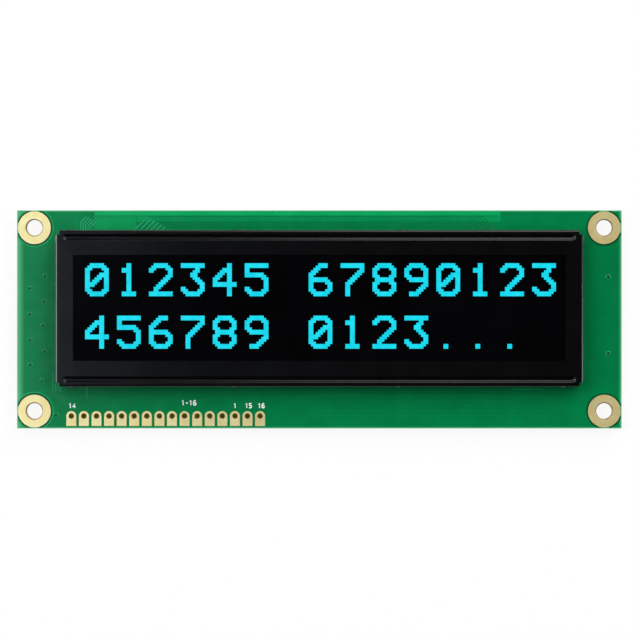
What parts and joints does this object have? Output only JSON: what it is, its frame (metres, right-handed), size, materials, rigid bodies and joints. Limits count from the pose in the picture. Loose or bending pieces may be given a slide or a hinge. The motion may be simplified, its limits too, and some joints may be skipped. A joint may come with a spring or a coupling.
{
  "type": "character oled module",
  "caption": "Character OLED display module: a green circuit board with corner mounting holes and a header row, carrying a dark display panel under a folded black metal bezel.",
  "frame": {"origin": "centre of the board's outline, in the plane of the bezel's tab tips that the module lies on", "axes": "+X to the right along the board, +Y up the display, +Z out of the display's face"},
  "size_m": [0.122, 0.044, 0.0086],
  "materials": {
    "solder_mask": "green solder mask over glass-fibre laminate",
    "gold_plate": "thin satin gold over nickel and copper",
    "bezel_paint": "fine satin black coating on steel sheet",
    "polariser_film": "dark film with a hard clear surface",
    "panel_glass": "clear float glass",
    "pixel_film": "dark thin-film layers",
    "seal_resin": "cured resin",
    "desiccant": "matt white sheet",
    "polyimide": "amber film",
    "foam": "closed-cell foam",
    "silicon": "polished silicon",
    "epoxy": "black cured epoxy",
    "ferrite": "dark sintered ferrite with tinned feet",
    "moulding_black": "black moulding compound",
    "moulding_yellow": "ochre moulding compound with tinned feet",
    "tinned_metal": "satin tin",
    "capacitor_ceramic": "tan ceramic between tinned ends",
    "resistor_film": "black glaze over white ceramic, with tinned ends",
    "lit_pixels": "lit cyan pixels",
    "legend_ink": "white printed legend"
  },
  "bodies": {
    "root": {"circuit_board": "solder_mask", "mounting_ring_top_left": "gold_plate", "mounting_ring_top_right": "gold_plate", "mounting_ring_bottom_left": "gold_plate", "mounting_ring_bottom_right": "gold_plate", "header_pad_1": "gold_plate", "header_pad_2": "gold_plate", "header_pad_3": "gold_plate", "header_pad_4": "gold_plate", "header_pad_5": "gold_plate", "header_pad_6": "gold_plate", "header_pad_7": "gold_plate", "header_pad_8": "gold_plate", "header_pad_9": "gold_plate", "header_pad_10": "gold_plate", "header_pad_11": "gold_plate", "header_pad_12": "gold_plate", "header_pad_13": "gold_plate", "header_pad_14": "gold_plate", "header_pad_15": "gold_plate", "header_pad_16": "gold_plate", "bezel": "bezel_paint", "polariser": "polariser_film", "front_glass": "panel_glass", "pixel_layer": "pixel_film", "edge_seal": "seal_resin", "cover_glass": "panel_glass", "desiccant_sheet": "desiccant", "flex_tail": "polyimide", "foam_tape_left": "foam", "foam_tape_right": "foam", "controller_die": "silicon", "glob_top": "epoxy", "boost_inductor": "ferrite", "converter_body": "moulding_black", "converter_leads": "tinned_metal", "diode_body": "moulding_black", "diode_leads": "tinned_metal", "reservoir_capacitor": "moulding_yellow", "chip_capacitor_1": "capacitor_ceramic", "chip_capacitor_2": "capacitor_ceramic", "chip_capacitor_3": "capacitor_ceramic", "chip_capacitor_4": "capacitor_ceramic", "chip_capacitor_5": "capacitor_ceramic", "chip_capacitor_6": "capacitor_ceramic", "chip_resistor_1": "resistor_film", "chip_resistor_2": "resistor_film", "chip_resistor_3": "resistor_film", "chip_resistor_4": "resistor_film", "chip_resistor_5": "resistor_film", "chip_resistor_6": "resistor_film"}
  },
  "joints": []
}
